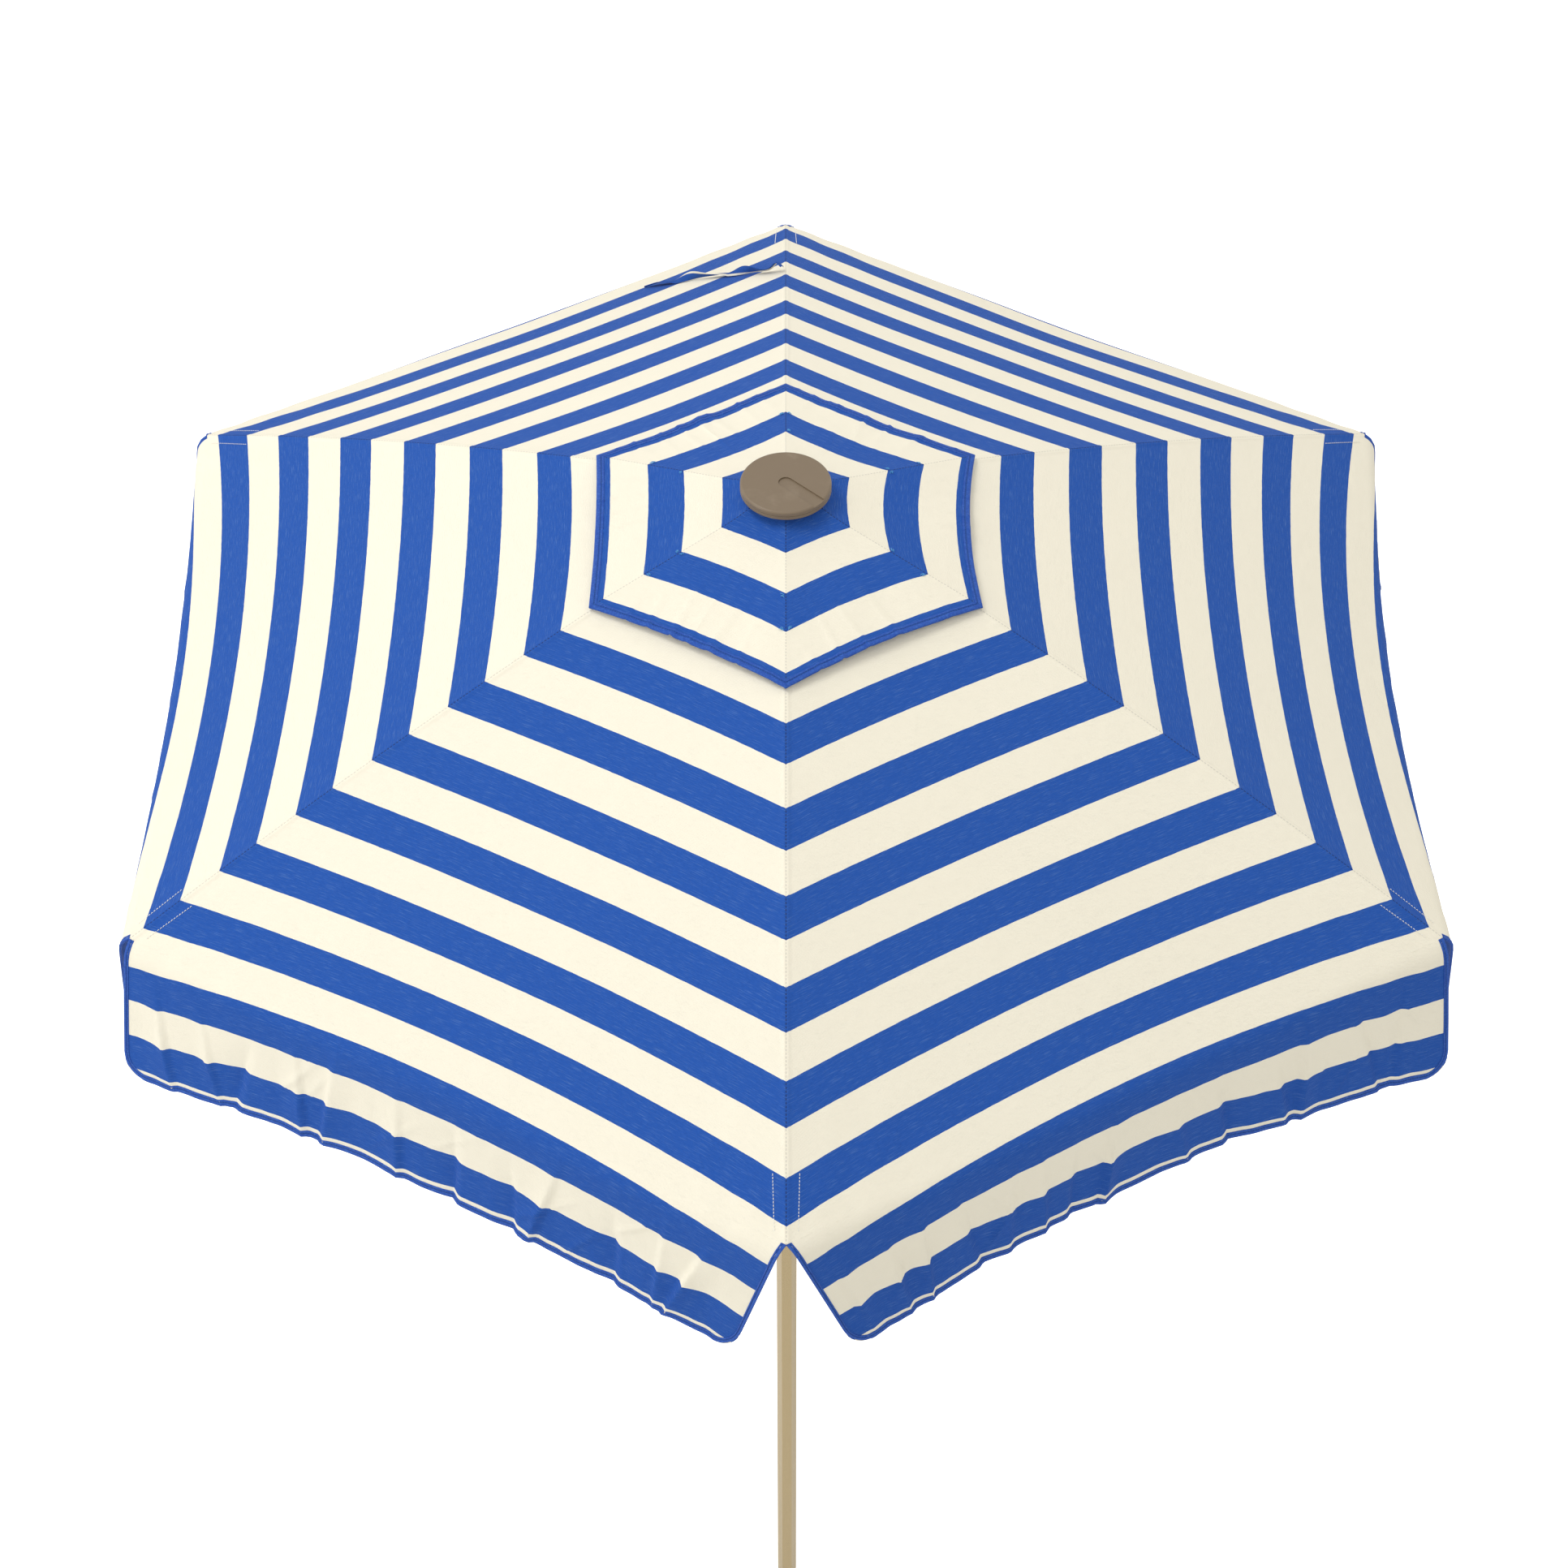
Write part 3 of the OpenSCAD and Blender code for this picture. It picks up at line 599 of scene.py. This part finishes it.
class Cloth:
    """Collects sheets, tapes and stitches of one piece: points, faces, two UV maps, material slots."""

    def __init__(self):
        self.points = []
        self.faces = []
        self.uv = []
        self.seam = []
        self.slots = []

    def add_grid(self, points, uv, seam, slot, flip, closed=False):
        rows, cols = points.shape[:2]
        first = len(self.points)
        self.points += [tuple(p) for row in points for p in row]
        self.uv += [tuple(p) for row in uv for p in row]
        self.seam += [tuple(p) for row in seam for p in row]
        for r in range(rows - 1):
            for c in range(cols - (0 if closed else 1)):
                d = (c + 1) % cols
                face = [first + r * cols + c, first + (r + 1) * cols + c,
                        first + (r + 1) * cols + d, first + r * cols + d]
                self.faces.append(face[::-1] if flip else face)
                self.slots.append(slot)

    def add_sheet(self, points, uv, seam, flip):
        """A sheet of cloth: the top grid, the same grid one thickness lower, and a wall round the edge."""
        rows, cols = points.shape[:2]
        down = np.gradient(points, axis=0)
        over = np.gradient(points, axis=1)
        normal = np.cross(down, over)
        normal /= np.linalg.norm(normal, axis=2, keepdims=True)
        normal *= -1 if flip else 1
        low = points - normal * CLOTH_T
        first = len(self.points)
        self.add_grid(points, uv, seam, MAIN_SLOT, flip)
        self.add_grid(low, uv, seam, MAIN_SLOT, not flip)
        size = rows * cols
        rim = list(range(cols))
        rim += [r * cols + cols - 1 for r in range(1, rows)]
        rim += [(rows - 1) * cols + c for c in range(cols - 2, -1, -1)]
        rim += [r * cols for r in range(rows - 2, 0, -1)]
        for a, b in zip(rim, rim[1:] + rim[:1]):
            face = [first + a, first + b, first + size + b, first + size + a]
            self.faces.append(face[::-1] if flip else face)
            self.slots.append(MAIN_SLOT)

    def finish(self, name, azimuth, materials):
        mesh = bpy.data.meshes.new(name)
        turn = np.array([[math.cos(azimuth), -math.sin(azimuth), 0],
                         [math.sin(azimuth), math.cos(azimuth), 0], [0, 0, 1]])
        mesh.from_pydata((np.array(self.points) @ turn.T).tolist(), [], self.faces)
        for label, values in (("cloth", self.uv), ("seam", self.seam)):
            layer = mesh.uv_layers.new(name=label)
            flat = np.array(values)[[loop.vertex_index for loop in mesh.loops]]
            layer.data.foreach_set("uv", flat.ravel())
        for material in materials:
            mesh.materials.append(material)
        mesh.polygons.foreach_set("material_index", self.slots)
        mesh.polygons.foreach_set("use_smooth", [True] * len(self.faces))
        mesh.update()
        mesh.set_sharp_from_angle(angle=math.radians(60))
        piece = bpy.data.objects.new(name, mesh)
        bpy.context.scene.collection.objects.link(piece)
        return piece


def seam_columns(half_width, count):
    """Places across a half panel, 0 on the seam and 1 in the middle, close together by the seam."""
    near = [0.0, SEAM_DITCH, 0.0032, SEAM_W - 0.0008, SEAM_W + 0.0006, 0.011, 0.02]
    near = [d / half_width for d in near if d / half_width < 0.4]
    start = near[-1]
    return near + [start + (1 - start) * i / count for i in range(1, count + 1)]


def seam_lift(distance):
    """The flat-felled seam stands a little proud, with a ditch on its line."""
    if distance > SEAM_W:
        return 0.0
    return SEAM_H * min(1.0, 0.25 + distance / SEAM_DITCH * 0.75)


def panel_sheet(cloth, surface, k, side, shares, far_share, count, slant):
    """A half panel from the rib to its middle. shares run down the rib, and far_share places each point."""
    rows = []
    uvs = []
    seams = []
    for place in shares:
        row = []
        uv_row = []
        seam_row = []
        half_width = max(far_share(place, 0.0) * CANOPY_R / 2, 0.012)
        for w in seam_columns(half_width, count):
            share = far_share(place, w)
            point = surface(k, side, share, w)
            distance = w * share * CANOPY_R / 2
            point[2] += seam_lift(distance)
            row.append(point)
            uv_row.append((cloth_x(share, w, side), share * CANOPY_R * slant))
            seam_row.append((distance, share * CANOPY_R))
        rows.append(row)
        uvs.append(uv_row)
        seams.append(seam_row)
    # rows near the hub have fewer columns, and the wider ones leave out some beside the seam to match
    cols = min(len(row) for row in rows)
    grids = [np.array([row[:1] + row[len(row) - cols + 1:] for row in grid]) for grid in (rows, uvs, seams)]
    cloth.add_sheet(*grids, side < 0)


# one face of a folded tape: share of its width in from its outer edge, and height in tape thicknesses
TAPE_PROFILE = [(1.0, 0.15), (0.97, 1.2), (0.85, 1.5), (0.7, 1.3), (0.62, 0.45),
                (0.54, 1.3), (0.4, 1.9), (0.2, 2.0), (0.04, 1.5), (-0.03, 0.5)]


def add_tape(cloth, surface, path, side):
    """Binding tape folded over an edge. path holds (edge place, inner place) in the surface's own places."""
    points = []
    for outer, inner in path:
        ring = []
        for face in (1, -1):
            profile = TAPE_PROFILE if face > 0 else TAPE_PROFILE[::-1]
            for share, height in profile:
                place = [o + (i - o) * share for o, i in zip(outer, inner)]
                here = surface(*place)
                normal = surface_normal(surface, place, side)
                lift = height * TAPE_T if face > 0 else -height * TAPE_T - CLOTH_T
                ring.append(here + normal * lift)
        points.append(ring)
    points = np.array(points)
    size = points.shape[1]
    steps = np.linalg.norm(np.diff(points[:, 0], axis=0), axis=1)
    lengths = np.concatenate(([0], np.cumsum(steps)))
    shares = [share for share, _ in TAPE_PROFILE] + [share for share, _ in TAPE_PROFILE[::-1]]
    flat = np.stack((np.tile(shares, (len(path), 1)), np.tile(lengths[:, None], (1, size))), axis=2)
    cloth.add_grid(points, flat, flat, TAPE_SLOT, side > 0, closed=True)
    for ring, turned in ((0, side > 0), (len(path) - 1, side < 0)):
        first = len(cloth.points) - points.shape[0] * size + ring * size
        face = list(range(first, first + size))
        cloth.faces.append(face if turned else face[::-1])
        cloth.slots.append(TAPE_SLOT)


def surface_normal(surface, place, side):
    """The surface's upward or outward normal, from two small steps."""
    step = 0.002
    here = surface(*place)
    along = surface(place[0] + step, place[1]) - here
    down = surface(place[0], place[1] + step) - here
    normal = np.cross(down, along) * side
    return normal / np.linalg.norm(normal)


def side_name(side):
    return "left" if side > 0 else "right"


CANOPY_CLOTH = striped_cloth("canopy_cloth", CANOPY_STRIPE_START)
VENT_CLOTH = striped_cloth("vent_cloth", VENT_STRIPE_START)
TAPE = binding_tape()
WHITE_THREAD = thread_material("white_thread", THREAD_WHITE, (0.92, 0.92, 0.90))
BLUE_THREAD = thread_material("light_blue_thread", THREAD_BLUE, (0.15, 0.45, 0.75))
STRAP_CLOTH = striped_cloth("strap_cloth", 0.0)


def make_canopy(k, side):
    cloth = Cloth()
    start = VENT_HOLE_R / CANOPY_R
    rows = np.linspace(0, 1, 86)

    def share(place, w):
        return start + (edge_share(w) - start) * place

    panel_sheet(cloth, canopy_surface, k, side, rows, share, 30, SLANT)
    piece = cloth.finish(f"canopy_cloth_{k}_{side_name(side)}", RIB_AZIMUTH[k], [CANOPY_CLOTH])
    finish_half(piece, k, f"canopy_{k}")


def finish_half(piece, k, node):
    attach(piece, f"rib_{k}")
    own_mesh(piece)
    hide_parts(node)


def make_vent(k, side):
    cloth = Cloth()
    start = VENT_HOLE_EDGE / CANOPY_R
    end = VENT_R / CANOPY_R
    rows = np.linspace(0, 1, 44)

    def share(place, w):
        return start + (end - start) * place

    panel_sheet(cloth, vent_surface, k, side, rows, share, 24, VENT_SLANT)

    def edge(w, back):
        return vent_surface(k, side, end - back, w)

    path = [((w, -TAPE_OVER), (w, VENT_TAPE_W)) for w in np.linspace(0, 1, 34)]
    add_tape(cloth, edge, path, -side)
    piece = cloth.finish(f"vent_cloth_{k}_{side_name(side)}", RIB_AZIMUTH[k], [VENT_CLOTH, TAPE])
    finish_half(piece, k, f"vent_{k}")


def rounded_depth(x, w):
    """How far down the valance reaches at a distance x from its side edge."""
    length = valance_length(w)
    if x >= VALANCE_CORNER_R:
        return length
    return length - VALANCE_CORNER_R + math.sqrt(VALANCE_CORNER_R ** 2 - (VALANCE_CORNER_R - x) ** 2)


def make_valance(k, side):
    cloth = Cloth()
    half_edge = CANOPY_R / 2
    near = [0.001, 0.004, 0.009, 0.016, 0.025, 0.035, 0.045]
    columns = [d / half_edge for d in near] + list(np.linspace(0.1, 1, 116))
    rows = np.linspace(0, 1, 40)
    points = np.array([[valance_surface(k, side, w, r * rounded_depth(w * half_edge, w)) for w in columns]
                       for r in rows])
    uv = np.array([[(cloth_x(1, w, side),
                     edge_share(w) * SLANT + VALANCE_STRETCH * r * rounded_depth(w * half_edge, w))
                    for w in columns] for r in rows])
    cloth.add_sheet(points, uv, np.full(uv.shape, NO_SEAM), side < 0)

    def place(x, down):
        return valance_surface(k, side, max(0.0, x) / half_edge, down)

    radius = VALANCE_CORNER_R
    path = []
    bottom = valance_length(radius / half_edge)
    for h in np.linspace(0.0, bottom - radius, 16):
        path.append(((-TAPE_OVER, h), (SIDE_TAPE_W, h)))
    for a in np.linspace(0.1, 0.9, 8) * math.pi / 2:
        width = SIDE_TAPE_W + (HEM_TAPE_W - SIDE_TAPE_W) * a / (math.pi / 2)
        inner = radius - width
        path.append(((radius - radius * math.cos(a), bottom - radius + radius * math.sin(a)),
                     (radius - inner * math.cos(a), bottom - radius + inner * math.sin(a))))
    for w in np.linspace(radius / half_edge, 1, 80):
        x = w * half_edge
        path.append(((x, valance_length(w) + TAPE_OVER), (x, valance_length(w) - HEM_TAPE_W)))
    add_tape(cloth, place, path, side)
    piece = cloth.finish(f"valance_cloth_{k}_{side_name(side)}", RIB_AZIMUTH[k], [CANOPY_CLOTH, TAPE])
    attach(piece, f"valance_{k}")
    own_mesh(piece)
    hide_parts(f"valance_{k}")


def canopy_top(k, side, share, w, height):
    """A point that stands at that height over the canopy's top."""
    point = canopy_surface(k, side, share, w)
    return point + np.array([0, 0, seam_lift(w * share * CANOPY_R / 2) + height])


STRAP_W = 0.016
STRAP_LEN = 0.245
STRAP_LOOP = 0.011
STRAP_STRIPE_W = 0.045
STRAP_STRIPE_SHIFT = 0.0125


def smooth_step(u, middle, sharpness):
    return 1 / (1 + math.exp(-(u - middle) * sharpness))


def make_strap():
    """The tie strap: a striped ribbon that is sewn to the back seam and twists on its way over the panel."""
    k, side = 4, 1
    cloth = Cloth()
    steps = 90
    rows = []
    uvs = []
    for i in range(steps):
        u = i / (steps - 1)
        w = 0.016 + 0.532 * u
        share = 0.756 + 0.382 * w + 0.041 * w * w
        here = canopy_top(k, side, share, w, 0)
        ahead = canopy_top(k, side, share + 0.006, w + 0.02, 0) - here
        ahead /= np.linalg.norm(ahead)
        up = np.array([0.3, 0, 0.954])
        over = np.cross(up, ahead)
        over /= np.linalg.norm(over)
        turn = math.pi * (0.12 + 1.05 * smooth_step(u, 0.34, 16) + smooth_step(u, 0.72, 18))
        spread = over * math.cos(turn) + up * math.sin(turn)
        width = STRAP_W * (1 - 0.3 * math.sin(math.pi * u) ** 2) * min(1.0, 0.12 + (1 - u) / 0.09)
        loop = STRAP_LOOP * math.exp(-(((u - 0.05) / 0.05) ** 2))
        centre = here + up * (0.0022 + loop + abs(math.sin(turn)) * width / 2)
        curl = up * math.cos(turn) - over * math.sin(turn)
        row = []
        uv_row = []
        for c in range(9):
            v = c / 8 - 0.5
            row.append(centre + spread * width * v + curl * 0.0025 * (1 - 4 * v * v) * math.sin(9 * u + 1))
            uv_row.append((u * STRAP_LEN, v * STRAP_STRIPE_W + STRAP_STRIPE_SHIFT))
        rows.append(row)
        uvs.append(uv_row)
    uv = np.array(uvs)
    cloth.add_sheet(np.array(rows), uv, np.full(uv.shape, NO_SEAM), False)
    piece = cloth.finish("tie_strap_ribbon", RIB_AZIMUTH[k], [STRAP_CLOTH])
    finish_half(piece, k, "tie_strap")


def add_stitch(cloth, start, end, thickness):
    """One short stitch: a thread that rises out of the cloth and dips back into it."""
    start = np.array(start)
    end = np.array(end)
    along = end - start
    length = np.linalg.norm(along)
    along /= length
    up = np.array([0.0, 0.0, 1.0])
    over = np.cross(up, along)
    over /= np.linalg.norm(over)
    rings = []
    for u in np.linspace(0, 1, 5):
        centre = start + along * length * u + up * thickness * (1.6 * math.sin(math.pi * u) - 0.5)
        rings.append([centre + (over * math.cos(a) + up * math.sin(a)) * thickness / 2
                      for a in np.linspace(0, 2 * math.pi, 7)[:-1]])
    points = np.array(rings)
    flat = np.zeros(points.shape[:2] + (2,))
    cloth.add_grid(points, flat, flat, MAIN_SLOT, True, closed=True)


POCKET_START = 0.9265
POCKET_END = 0.992
POCKET_HALF_W = 0.0185
POCKET_STITCH = 0.0027
POCKET_PITCH = 0.0040


def make_pocket_stitches(k, side):
    """The line of white stitches that closes one side of the rib's pocket, near the corner."""
    cloth = Cloth()
    place = POCKET_START
    while place < POCKET_END:
        lateral = POCKET_HALF_W + 0.03 * (1 - place)
        ends = []
        for share in (place, place + POCKET_STITCH):
            w = lateral / (share * CANOPY_R / 2)
            ends.append(canopy_top(k, side, share, w, 0.0003))
        add_stitch(cloth, ends[0], ends[1], 0.0009)
        place += POCKET_PITCH
    piece = cloth.finish(f"pocket_stitches_{k}_{side_name(side)}", RIB_AZIMUTH[k], [WHITE_THREAD])
    finish_half(piece, k, f"canopy_{k}")


def make_tacks(k, side):
    """Light blue tacks at both edges of the vent cap's middle blue stripe. Some are left out at random."""
    cloth = Cloth()
    draw = random.Random(70 + k * 2 + side)
    for share in (0.164, 0.215) if side > 0 else (0.166, 0.2165):
        if draw.random() < 0.3:
            continue
        for i in range(3):
            a = vent_surface(k, side, share + 0.0016 * i, 0.03 + 0.01 * draw.random())
            far_share = share + 0.0016 * i + 0.003 * draw.random()
            b = vent_surface(k, side, far_share, 0.075 + 0.03 * draw.random())
            lift = np.array([0, 0, 0.0010 + 0.0006 * draw.random()])
            add_stitch(cloth, a + lift, b + lift, 0.0008)
    if not cloth.points:
        return
    piece = cloth.finish(f"vent_tacks_{k}_{side_name(side)}", RIB_AZIMUTH[k], [BLUE_THREAD])
    finish_half(piece, k, f"vent_{k}")


# ---------- finishing ----------
PAINT = metallic_paint()
BRONZE = plastic("bronze_plastic", (0.185, 0.135, 0.085), (0.27, 0.21, 0.145), 0.42, 0.00003, 0.15)
BLACK = plastic("black_plastic", (0.018, 0.018, 0.020), (0.045, 0.045, 0.048), 0.5, 0.00006)
ACETAL = plastic("white_acetal", (0.80, 0.80, 0.77), (0.88, 0.88, 0.86), 0.4, 0.00003)
ROD = fibreglass()
STEEL = zinc_steel()


def node_material(node):
    if node in ("pole_lower", "pole_upper"):
        return PAINT
    if node in ("finial_base", "finial_cap"):
        return BRONZE
    if node == "pole_bush":
        return ACETAL
    if node in ("hub_pins", "runner_pins", "finial_screw") or node.startswith("rib_bracket"):
        return STEEL
    if node.startswith("strut") or (node.startswith("rib_") and not node.startswith("rib_tip")):
        return ROD
    return BLACK


def dress_frame():
    for name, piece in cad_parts.items():
        if name.startswith(("canopy_", "vent_", "valance_", "tie_")):
            continue
        piece.data.materials.clear()
        piece.data.materials.append(node_material(name))


make_camera()
make_stage()
dress_frame()
for rib in RIB_AZIMUTH:
    for hand in (1, -1):
        make_canopy(rib, hand)
        make_vent(rib, hand)
        make_valance(rib, hand)
        make_pocket_stitches(rib, hand)
        make_tacks(rib, hand)
make_strap()
